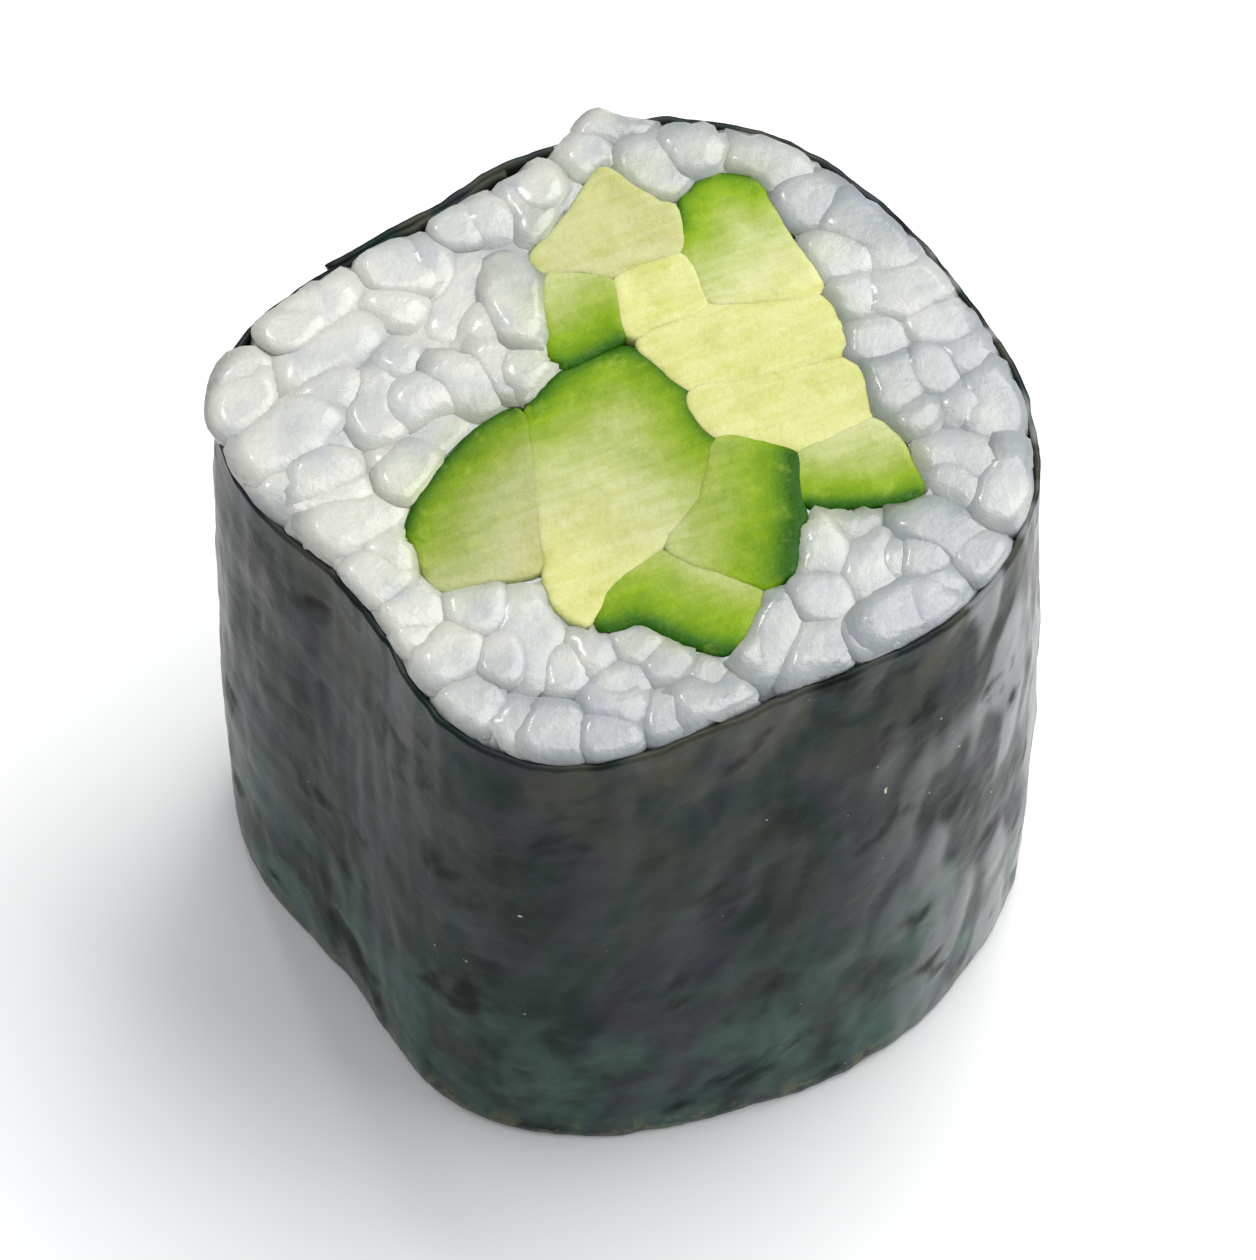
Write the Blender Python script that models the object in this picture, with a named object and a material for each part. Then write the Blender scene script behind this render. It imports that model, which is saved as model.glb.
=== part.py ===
"""A piece of cucumber maki roll, standing on its cut end.

Lengths are in millimetres here and go to metres when a mesh is made. +Z is up, from the
board to the upper cut face. The origin is under the middle of the piece, at its lower face.
"""

import math

import bmesh
import bpy
from mathutils import Vector, noise

MM = 0.001

# The roll: its outer radius at the upper and the lower cut, one for every 30 degrees
HEIGHT = 26.0
ROLL_RADII = (14.75, 13.6, 13.95, 13.7, 12.2, 13.7, 14.6, 11.8, 13.3, 13.4, 12.3, 14.25)
FOOT_RADII = (14.7, 13.7, 13.8, 13.6, 12.6, 13.6, 14.3, 12.4, 13.6, 13.45, 13.55, 14.0)
ROUND_STEPS = 72
HEIGHT_STEPS = 5

# How the sticks lean and the roll swells on the way down, and how the upper cut slopes
TWIST = math.radians(5.0)
DRIFT = (-0.5, 0.4)
SWELL = 0.3
CUT_DROP = 1.5
CUT_LOW_HEADING = math.radians(235.0)

# The nori wrap
NORI_THICK = 0.4
NORI_LAP_HEADING = math.radians(128.0)
NORI_LAP = math.radians(34.0)
NORI_EASE = math.radians(16.0)
NORI_HEM = 0.35

# The rice
GAP = 0.3
GRAIN = 3.2
GRAIN_RELIEF = 0.45
RICE_GRID = 27
BLOCK_MARGIN = 1.0
COLUMN_OVER = 0.1
WELD = 0.002

# The cucumber sticks
CORNER_RADIUS = 0.45
CORNER_STEPS = 3
SKIN_BOW = 0.03
SKIN_STEPS = 4

# Each stick's corners on the upper cut, counter-clockwise, and which of its sides are skin:
# side 0 runs from the first corner to the second
STICKS = {
    "cucumber_left": (((-7.6, -3.3), (-6.7, -6.0), (-2.9, -5.3), (-3.8, 1.5), (-6.3, -0.8)), (3, 4)),
    "cucumber_middle": (((-3.4, 1.6), (-2.5, -6.9), (-1.3, -7.7), (-1.0, -6.2), (2.4, -2.5), (2.8, -0.3),
                         (1.7, 2.1), (-0.1, 3.8), (-2.0, 2.7)), (6, 7, 8)),
    "cucumber_right": (((2.9, -2.5), (1.6, -4.6), (5.0, -6.0), (5.8, -5.5), (5.8, -0.9), (3.4, 0.0)),
                       (3,)),
    "cucumber_front": (((-0.7, -6.5), (-1.0, -7.9), (0.5, -7.4), (3.5, -8.8), (4.8, -6.4), (1.2, -5.0)),
                       (1, 2)),
    "cucumber_far_right": (((6.3, -0.7), (6.3, -2.8), (10.4, -2.4), (9.6, -0.4), (8.8, 0.6)), (1,)),
    "cucumber_core_low": (((2.2, 1.8), (3.3, 0.4), (6.4, -0.4), (8.6, 1.0), (7.9, 3.2), (4.0, 2.1)),
                          ()),
    "cucumber_core_high": (((0.4, 4.2), (2.2, 2.4), (3.8, 2.5), (7.8, 3.6), (7.0, 5.7), (3.2, 5.3)), ()),
    "cucumber_back_right": (((3.0, 5.8), (7.0, 6.1), (5.3, 9.0), (4.6, 10.9), (2.5, 10.7), (2.1, 9.0)),
                            (3,)),
    "cucumber_back_left": (((-3.5, 7.4), (-0.7, 7.1), (1.8, 8.0), (1.7, 9.2), (-0.9, 11.5), (-2.0, 9.4)),
                           ()),
    "cucumber_core_left": (((-0.2, 6.7), (0.0, 4.8), (0.4, 4.6), (2.6, 5.7), (2.0, 7.6)), ()),
    "cucumber_small": (((-2.9, 6.9), (-2.5, 3.3), (-1.2, 3.8), (-0.4, 4.4), (-0.6, 6.7)), (1,)),
}

# Half turns smaller than this count as none
NO_TURN = 1e-9

# Colours: red, green, blue and roughness
NORI_LOOK = (0.045, 0.055, 0.055, 0.45)
RICE_LOOK = (0.78, 0.80, 0.80, 0.35)
CUCUMBER_LOOK = (0.62, 0.72, 0.28, 0.30)


def roll_radius(heading, radii=ROLL_RADII):
    """The roll's outer radius at a heading: the smooth curve through its evenly spaced radii."""
    count = len(radii)
    radius = 0.0
    for index, sample in enumerate(radii):
        turn = heading - math.tau * index / count
        half = math.sin(turn / 2)
        if abs(half) < NO_TURN:
            return sample
        radius += sample * math.sin(count * turn / 2) * math.cos(turn / 2) / (count * half)
    return radius


def roll_outline(inset):
    """The roll's outline as points, moved in by a length."""
    points = []
    for step in range(ROUND_STEPS):
        heading = math.tau * step / ROUND_STEPS
        radius = roll_radius(heading) - inset
        points.append(Vector((radius * math.cos(heading), radius * math.sin(heading))))
    return points


def cut_height(x, y):
    """Height of the sloping upper cut above the lower one."""
    towards_low = x * math.cos(CUT_LOW_HEADING) + y * math.sin(CUT_LOW_HEADING)
    return HEIGHT - CUT_DROP * (0.5 + towards_low / (2 * max(ROLL_RADII)))


def place(x, y, share):
    """A point of the upper cut's section carried down the roll: share is 1 at the top, 0 below."""
    below = 1 - share
    heading = math.atan2(y, x)
    radius = roll_radius(heading)
    outness = min(1.0, math.hypot(x, y) / radius) ** 2
    swell = SWELL / max(ROLL_RADII) * math.sin(math.pi * share)
    size = 1 + swell + (roll_radius(heading, FOOT_RADII) / radius - 1) * below * outness
    lean = below * (1 - outness)
    turn = TWIST * lean
    moved_x = size * (x * math.cos(turn) - y * math.sin(turn)) + DRIFT[0] * lean
    moved_y = size * (x * math.sin(turn) + y * math.cos(turn)) + DRIFT[1] * lean
    return moved_x, moved_y, share * cut_height(x, y)


def material(name, look):
    """A plain Principled material of a colour and roughness."""
    made = bpy.data.materials.new(name)
    made.use_nodes = True
    shader = made.node_tree.nodes["Principled BSDF"]
    shader.inputs["Base Color"].default_value = (*look[:3], 1.0)
    shader.inputs["Roughness"].default_value = look[3]
    shader.inputs["Metallic"].default_value = 0.0
    return made


def new_collection(name):
    collection = bpy.data.collections.new(name)
    bpy.context.scene.collection.children.link(collection)
    return collection


def new_object(name, bm, collection, look=None):
    """An object from a bmesh drawn in millimetres, with a material of its own."""
    bmesh.ops.scale(bm, verts=bm.verts, vec=(MM, MM, MM))
    bmesh.ops.recalc_face_normals(bm, faces=bm.faces)
    mesh = bpy.data.meshes.new(name)
    bm.to_mesh(mesh)
    bm.free()
    made = bpy.data.objects.new(name, mesh)
    if look is not None:
        mesh.materials.append(material(name, look))
    collection.objects.link(made)
    return made


def column(outline, low=0.0, high=1.0):
    """An outline run up the roll in level steps; a vertex's z is its share of the height."""
    bm = bmesh.new()
    face = bm.faces.new([bm.verts.new((point.x, point.y, low)) for point in outline])
    for step in range(HEIGHT_STEPS):
        raised = bmesh.ops.extrude_face_region(bm, geom=[face])["geom"]
        if step > 0:
            bm.faces.remove(face)
        face = next(item for item in raised if isinstance(item, bmesh.types.BMFace))
        bmesh.ops.translate(bm, verts=face.verts, vec=(0, 0, (high - low) / HEIGHT_STEPS))
    return bm


def carry(bm):
    """Bring every vertex from the straight column to its place in the roll."""
    for vert in bm.verts:
        vert.co = place(*vert.co)


def rounded(corners, skin_sides):
    """A stick's outline: rounded corners, and sides of skin bowed out as the cucumber's round is."""
    corners = [Vector(corner) for corner in corners]
    count = len(corners)
    points = []
    for index, corner in enumerate(corners):
        before = corners[index - 1] - corner
        after = corners[(index + 1) % count] - corner
        reach = min(CORNER_RADIUS, before.length / 3, after.length / 3)
        start = corner + before.normalized() * reach
        end = corner + after.normalized() * reach
        for step in range(CORNER_STEPS + 1):
            share = step / CORNER_STEPS
            points.append(start.lerp(corner, share).lerp(corner.lerp(end, share), share))
        if index in skin_sides:
            next_corner = corners[(index + 1) % count]
            next_start = next_corner - after.normalized() * reach
            outwards = Vector((after.y, -after.x)).normalized()
            for step in range(1, SKIN_STEPS):
                share = step / SKIN_STEPS
                bow = SKIN_BOW * after.length * 4 * share * (1 - share)
                points.append(end.lerp(next_start, share) + outwards * bow)
    return points


def grown(outline, distance):
    """An outline moved out along its normals."""
    count = len(outline)
    points = []
    for index, point in enumerate(outline):
        along = (outline[(index + 1) % count] - outline[index - 1]).normalized()
        points.append(point + Vector((along.y, -along.x)) * distance)
    return points


def nori_outline():
    """The edge of the wrapped sheet: once round the roll, and on over its own first end."""
    start = NORI_LAP_HEADING - NORI_LAP / 2
    sweep = math.tau + NORI_LAP
    steps = round(ROUND_STEPS * sweep / math.tau)
    outer, inner = [], []
    for step in range(steps + 1):
        turned = sweep * step / steps
        heading = start + turned
        climb = min(1.0, max(0.0, (turned - math.tau + NORI_EASE) / NORI_EASE))
        lift = (NORI_THICK + GAP) * climb * climb * (3 - 2 * climb)
        radius = roll_radius(heading) + lift
        direction = Vector((math.cos(heading), math.sin(heading)))
        outer.append(direction * radius)
        inner.append(direction * (radius - NORI_THICK))
    return outer + inner[::-1]


def make_nori(collection):
    """The seaweed sheet, its hem just clear of what the piece stands on."""
    bm = column(nori_outline(), low=NORI_HEM / HEIGHT)
    carry(bm)
    return new_object("nori", bm, collection, NORI_LOOK)


def grain_relief(x, y):
    """Unevenness of the cut rice, one bump for each grain."""
    distances, _ = noise.voronoi(Vector((x / GRAIN, y / GRAIN, 0.0)))
    return -GRAIN_RELIEF * min(1.0, distances[0])


def rice_block():
    """A block whose upper side has the grains' relief, wider than the roll."""
    bm = bmesh.new()
    reach = max(ROLL_RADII) + BLOCK_MARGIN
    bmesh.ops.create_grid(bm, x_segments=RICE_GRID, y_segments=RICE_GRID, size=reach)
    lower = list(bm.faces)
    raised = bmesh.ops.extrude_face_region(bm, geom=lower)["geom"]
    for vert in (item for item in raised if isinstance(item, bmesh.types.BMVert)):
        vert.co.z = 1 + grain_relief(vert.co.x, vert.co.y) / HEIGHT
    bmesh.ops.dissolve_limit(bm, angle_limit=math.radians(1), verts=[v for v in bm.verts if v.co.z == 0],
                             edges=[e for e in bm.edges if all(v.co.z == 0 for v in e.verts)])
    return bm


def cut(target, cutters, operation):
    """Apply one Boolean modifier for each cutter."""
    for cutter in cutters:
        modifier = target.modifiers.new(cutter.name, "BOOLEAN")
        modifier.operation = operation
        modifier.solver = "EXACT"
        modifier.object = cutter


def baked(source):
    """A bmesh in millimetres of an object with its modifiers applied."""
    depsgraph = bpy.context.evaluated_depsgraph_get()
    mesh = bpy.data.meshes.new_from_object(source.evaluated_get(depsgraph))
    bm = bmesh.new()
    bm.from_mesh(mesh)
    bpy.data.meshes.remove(mesh)
    bmesh.ops.scale(bm, verts=bm.verts, vec=(1 / MM, 1 / MM, 1 / MM))
    bmesh.ops.remove_doubles(bm, verts=bm.verts, dist=WELD)
    return bm


def keep_largest(bm):
    """Leave only the body with the most vertices, without the crumbs between the sticks."""
    left = set(bm.verts)
    bodies = []
    while left:
        body, edge_of_body = set(), [left.pop()]
        while edge_of_body:
            vert = edge_of_body.pop()
            body.add(vert)
            fresh = {edge.other_vert(vert) for edge in vert.link_edges} & left
            left -= fresh
            edge_of_body.extend(fresh)
        bodies.append(body)
    bodies.sort(key=len)
    crumbs = [vert for body in bodies[:-1] for vert in body]
    bmesh.ops.delete(bm, geom=crumbs, context="VERTS")


def make_rice(collection, cutters):
    """The bed of rice: inside the wrap, round the sticks, with a grainy upper cut."""
    block = new_object("rice_block", rice_block(), cutters)
    low, high = -COLUMN_OVER, 1 + COLUMN_OVER
    bed = new_object("rice_bed", column(roll_outline(NORI_THICK + GAP), low, high), cutters)
    cut(block, [bed], "INTERSECT")
    sticks = []
    for name, (corners, skin_sides) in STICKS.items():
        outline = grown(rounded(corners, skin_sides), GAP)
        sticks.append(new_object(name + "_room", column(outline, low, high), cutters))
    cut(block, sticks, "DIFFERENCE")
    bm = baked(block)
    keep_largest(bm)
    carry(bm)
    return new_object("rice", bm, collection, RICE_LOOK)


def make_stick(name, collection):
    """A stick of cucumber, running through the roll from one cut to the other."""
    corners, skin_sides = STICKS[name]
    bm = column(rounded(corners, skin_sides))
    carry(bm)
    return new_object(name, bm, collection, CUCUMBER_LOOK)


def centre(objects):
    """Put the origin under the middle of the whole piece."""
    bpy.context.view_layer.update()
    corners = [made.matrix_world @ Vector(corner) for made in objects for corner in made.bound_box]
    for axis in (0, 1):
        values = [corner[axis] for corner in corners]
        middle = (min(values) + max(values)) / 2
        for made in objects:
            made.location[axis] -= middle


def main():
    for old in list(bpy.data.objects):
        bpy.data.objects.remove(old)
    collection = new_collection("cucumber_maki_piece")
    cutters = new_collection("cutters")
    pieces = [make_nori(collection), make_rice(collection, cutters)]
    pieces += [make_stick(name, collection) for name in STICKS]
    for cutter in cutters.objects:
        cutter.hide_render = True
        cutter.display_type = "WIRE"
    centre(pieces)


main()
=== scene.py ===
"""Looks of the cucumber maki piece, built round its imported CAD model.

The nori wrap, the rice grains and the cucumber sticks follow the CAD solids' own outlines.
Lengths are in millimetres here, and each mesh goes to metres as it is made.
"""

import math

import bmesh
import bpy
import numpy as np
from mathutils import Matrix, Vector, noise
from mathutils.bvhtree import BVHTree


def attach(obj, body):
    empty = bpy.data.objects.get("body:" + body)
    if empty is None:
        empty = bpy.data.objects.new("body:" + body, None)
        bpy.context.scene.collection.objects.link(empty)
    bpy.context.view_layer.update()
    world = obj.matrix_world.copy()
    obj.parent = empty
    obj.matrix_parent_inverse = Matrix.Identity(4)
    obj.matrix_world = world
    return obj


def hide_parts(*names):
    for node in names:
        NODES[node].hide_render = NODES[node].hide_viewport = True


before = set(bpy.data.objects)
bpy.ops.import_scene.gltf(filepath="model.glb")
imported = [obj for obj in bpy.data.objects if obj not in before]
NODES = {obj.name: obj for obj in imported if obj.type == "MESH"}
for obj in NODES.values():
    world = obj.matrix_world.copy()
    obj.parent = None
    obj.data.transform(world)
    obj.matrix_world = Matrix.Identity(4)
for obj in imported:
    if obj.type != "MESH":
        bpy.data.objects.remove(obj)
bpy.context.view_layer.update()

MM = 0.001
STICKS = sorted(name for name in NODES if name.startswith("cucumber"))
# A stick's outline is given at this many steps up from its lower cut
LEVELS = 5
WELD = 0.001
CAP_ZONE = 1.5
TINY = 1e-9
TOUCHING = 1e-6

# Each stick's look:
# - which way its skin faces, in degrees from one heading to another, or None without skin
# - how thick its dark skin is, in millimetres; below nothing, the darkest of it was pared off
# - how light the flesh is: the wetter, glassier ones are darker
# - how fast the green fades with depth: cut close under the skin, a stick stays green far in
STICK_LOOKS = {
    "left": ((105, 190), 0.0, 0.82, 1.0),
    "middle": ((20, 150), 0.0, 0.97, 0.85),
    "right": ((-30, 30), 0.26, 0.95, 0.60),
    "front": ((-125, -60), 0.10, 1.0, 0.72),
    "far_right": ((-110, -60), 0.10, 1.0, 1.12),
    "back_right": ((70, 185), -0.10, 1.06, 1.05),
    "small": ((-90, -40), 0.0, 1.0, 0.80),
    "back_left": (None, 0.0, 0.88, 0.75),
    "core_low": (None, 0.0, 0.97, 1.0),
    "core_high": (None, 0.0, 0.98, 1.0),
    "core_left": (None, 0.0, 1.0, 1.0),
}


# ---- the CAD's own outlines

def cad_mesh(node):
    """A CAD node's mesh as a welded bmesh, in millimetres."""
    bm = bmesh.new()
    bm.from_mesh(NODES[node].data)
    bmesh.ops.scale(bm, verts=bm.verts, vec=(1 / MM, 1 / MM, 1 / MM))
    bmesh.ops.remove_doubles(bm, verts=bm.verts, dist=WELD)
    bm.verts.ensure_lookup_table()
    return bm


def upper_cut():
    """The plane of the upper cut face, from the tops of the sticks: z = a + b x + c y."""
    tops = []
    for node in STICKS:
        bm = cad_mesh(node)
        highest = max(vert.co.z for vert in bm.verts)
        tops += [tuple(vert.co) for vert in bm.verts if vert.co.z > highest - CAP_ZONE]
        bm.free()
    tops = np.array(tops)
    flat = np.column_stack([np.ones(len(tops)), tops[:, 0], tops[:, 1]])
    return np.linalg.lstsq(flat, tops[:, 2], rcond=None)[0]


CUT = upper_cut()


def cut_height(x, y):
    """The height of the upper cut face at a place in plan."""
    return CUT[0] + CUT[1] * x + CUT[2] * y


def rim_loop(bm, level_of, level):
    """The stick's outline at one level, counter-clockwise, as an array of points."""
    rim = {}
    for edge in bm.edges:
        ends = [vert.index for vert in edge.verts]
        lids = [face for face in edge.link_faces
                if all(level_of[vert.index] == level for vert in face.verts)]
        if all(level_of[index] == level for index in ends) and len(lids) < 2:
            for here, there in (ends, ends[::-1]):
                rim.setdefault(here, []).append(there)
    loop = [min(rim)]
    while True:
        onwards = [index for index in rim[loop[-1]] if index not in loop[-2:] and index != loop[0]]
        if not onwards:
            break
        loop.append(onwards[0])
    points = np.array([tuple(bm.verts[index].co) for index in loop])
    after = np.roll(points, -1, axis=0)
    turning = np.sum(points[:, 0] * after[:, 1] - points[:, 1] * after[:, 0])
    return points if turning > 0 else points[::-1]


def stick_levels(node):
    """A stick's outlines, level by level from the lower cut: an array of levels x points x 3."""
    bm = cad_mesh(node)
    level_of = [round(LEVELS * vert.co.z / cut_height(vert.co.x, vert.co.y)) for vert in bm.verts]
    rings = [rim_loop(bm, level_of, LEVELS)]
    for level in range(LEVELS - 1, -1, -1):
        ring = rim_loop(bm, level_of, level)
        turns = [np.roll(ring, shift, axis=0) for shift in range(len(ring))]
        rings.append(min(turns, key=lambda turn: np.sum((turn[:, :2] - rings[-1][:, :2]) ** 2)))
    bm.free()
    return np.array(rings[::-1])


def resampled(levels, count):
    """The same outlines with a given number of points, evenly spaced along the top one."""
    top = levels[-1][:, :2]
    lengths = np.linalg.norm(np.roll(top, -1, axis=0) - top, axis=1)
    marks = np.concatenate([[0], np.cumsum(lengths)])
    places = np.arange(count) / count * marks[-1]
    closed = np.concatenate([levels, levels[:, :1]], axis=1)
    found = [[np.interp(places, marks, ring[:, axis]) for axis in range(3)] for ring in closed]
    return np.array(found).transpose(0, 2, 1)


def outward(loop):
    """Unit outward normals of a counter-clockwise outline in plan."""
    along = np.roll(loop, -1, axis=0) - np.roll(loop, 1, axis=0)
    along /= np.linalg.norm(along, axis=1)[:, None]
    return np.column_stack([along[:, 1], -along[:, 0]])


def rice_tree():
    """The CAD rice, ready for rays to be cast at it."""
    bm = cad_mesh("rice")
    tree = BVHTree.FromBMesh(bm)
    bm.free()
    return tree


RICE_TREE = rice_tree()
RAY_START = 40
MEAN_RADIUS = 13


def rice_reach(heading, share):
    """The rice bed's outer radius at a heading and a share of the height."""
    direction = Vector((math.cos(heading), math.sin(heading), 0))
    start = direction * RAY_START
    start.z = share * cut_height(direction.x * MEAN_RADIUS, direction.y * MEAN_RADIUS)
    hit = RICE_TREE.ray_cast(start, -direction)[0]
    return hit.xy.length


REACH_HEADINGS = 144
REACH_SHARES = np.linspace(0.02, 0.95, 7)
REACH = np.array([[rice_reach(math.tau * step / REACH_HEADINGS, share)
                   for step in range(REACH_HEADINGS)] for share in REACH_SHARES])
# Keeps a place in a table short of its last row
SHORT_OF_END = 1.001


def reach_at(heading, share):
    """The rice bed's outer radius for arrays of headings and shares of the height."""
    along = np.mod(heading / math.tau * REACH_HEADINGS, REACH_HEADINGS)
    left = np.floor(along).astype(int) % REACH_HEADINGS
    part = along - np.floor(along)
    row_height = REACH_SHARES[1] - REACH_SHARES[0]
    up = np.clip((share - REACH_SHARES[0]) / row_height, 0, len(REACH_SHARES) - SHORT_OF_END)
    low = np.floor(up).astype(int)
    rise = up - low
    right = (left + 1) % REACH_HEADINGS
    lower = REACH[low, left] * (1 - part) + REACH[low, right] * part
    upper = REACH[low + 1, left] * (1 - part) + REACH[low + 1, right] * part
    return lower * (1 - rise) + upper * rise


def outline(share, grow=0.0):
    """The rice bed's outline at a share of the height, in plan, counter-clockwise."""
    headings = np.arange(REACH_HEADINGS) / REACH_HEADINGS * math.tau
    radii = reach_at(headings, np.full(REACH_HEADINGS, share)) + grow
    return np.column_stack([radii * np.cos(headings), radii * np.sin(headings)])


# ---- meshes and noise

SEED_STEP = (17.3, 5.1, 9.7)


def fractal(place, octaves=3):
    """Fractal noise at one place: each octave is twice as fine and half as strong."""
    return noise.fractal(place, 1.0, 2.0, octaves)


def fbm(points, scale, seed, octaves=3):
    """Fractal noise from about -1 to 1 for points in millimetres; scale is the feature size."""
    offset = Vector([seed * step for step in SEED_STEP])
    return np.array([fractal(Vector(point) / scale + offset, octaves) for point in points])


def add_object(name, data):
    made = bpy.data.objects.new(name, data)
    bpy.context.scene.collection.objects.link(made)
    return made


def make_object(name, vertices, faces, material, replaces, attributes=None):
    """A smooth mesh object from points in millimetres, riding on the root body."""
    mesh = bpy.data.meshes.new(name)
    mesh.from_pydata([tuple(point) for point in np.asarray(vertices) * MM], [], faces)
    mesh.update()
    for label, values in (attributes or {}).items():
        layer = mesh.attributes.new(label, "FLOAT", "POINT")
        layer.data.foreach_set("value", np.asarray(values, np.float32))
    mesh.shade_smooth()
    mesh.materials.append(material)
    made = add_object(name, mesh)
    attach(made, "root")
    if replaces:
        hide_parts(*replaces)
    return made


def strip_faces(rings, around):
    """Quads between closed rings of points that follow each other."""
    faces = []
    for ring in range(rings - 1):
        for step in range(around):
            here, there = ring * around + step, ring * around + (step + 1) % around
            faces.append((here, there, there + around, here + around))
    return faces


# ---- node materials

class Nodes:
    """Short ways to add shader nodes to one material."""

    def __init__(self, name):
        self.material = bpy.data.materials.new(name)
        self.material.use_nodes = True
        self.tree = self.material.node_tree
        self.shader = self.tree.nodes["Principled BSDF"]

    def add(self, kind, settings=None, **inputs):
        node = self.tree.nodes.new("ShaderNode" + kind)
        for key, value in (settings or {}).items():
            setattr(node, key, value)
        for key, value in inputs.items():
            self.put(node, key.replace("_", " "), value)
        return node

    def put(self, node, key, value):
        socket = node.inputs[int(key)] if key.isdigit() else node.inputs[key]
        if isinstance(value, bpy.types.NodeSocket):
            self.tree.links.new(value, socket)
        else:
            socket.default_value = value

    def place(self):
        return self.add("TexCoord").outputs["Object"]

    def noise(self, scale, detail=3.0, roughness=0.5, distortion=0.0, vector=None):
        """Noise over object space; scale is the feature size in millimetres."""
        node = self.add("TexNoise", Scale=1 / (scale * MM), Detail=detail, Roughness=roughness,
                        Distortion=distortion)
        self.put(node, "Vector", vector or self.place())
        return node.outputs["Fac"]

    def stretched(self, factors, rotation=(0.0, 0.0, 0.0)):
        """Object space turned by a rotation and then drawn out by a factor along each axis."""
        node = self.add("Mapping", {"vector_type": "TEXTURE"}, Scale=factors, Rotation=rotation)
        self.put(node, "Vector", self.place())
        return node.outputs["Vector"]

    def attribute(self, name):
        return self.add("Attribute", {"attribute_name": name}).outputs["Fac"]

    def math(self, operation, first, second=0.0, third=0.0):
        node = self.add("Math", {"operation": operation})
        for index, value in enumerate((first, second, third)):
            self.put(node, str(index), value)
        return node.outputs["Value"]

    def times(self, first, second):
        return self.math("MULTIPLY", first, second)

    def spread(self, value, low, high, to_low=0.0, to_high=1.0):
        """A smooth step from one number to another as a value goes from low to high."""
        node = self.add("MapRange", {"interpolation_type": "SMOOTHSTEP"})
        for key, number in (("Value", value), ("From Min", low), ("From Max", high),
                            ("To Min", to_low), ("To Max", to_high)):
            self.put(node, key, number)
        return node.outputs["Result"]

    def ramp(self, value, stops):
        node = self.add("ValToRGB")
        self.put(node, "Fac", value)
        elements = node.color_ramp.elements
        while len(elements) < len(stops):
            elements.new(0.5)
        for element, (position, colour) in zip(elements, stops):
            element.position = position
            element.color = (*colour, 1.0)
        return node.outputs["Color"]

    def mix(self, share, first, second, blend="MIX"):
        node = self.add("Mix", {"data_type": "RGBA", "blend_type": blend})
        for index, value in ((0, share), (6, first), (7, second)):
            self.put(node, str(index), value if not isinstance(value, tuple) else (*value, 1.0))
        return node.outputs[2]

    def bump(self, height, distance, normal=None):
        """Bump from a height of 0 to 1 that stands distance millimetres high."""
        node = self.add("Bump", Distance=distance * MM, Height=height)
        if normal is not None:
            self.put(node, "Normal", normal)
        return node.outputs["Normal"]

    def surface(self, **inputs):
        for key, value in inputs.items():
            self.put(self.shader, key.replace("_", " "), value)


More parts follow.
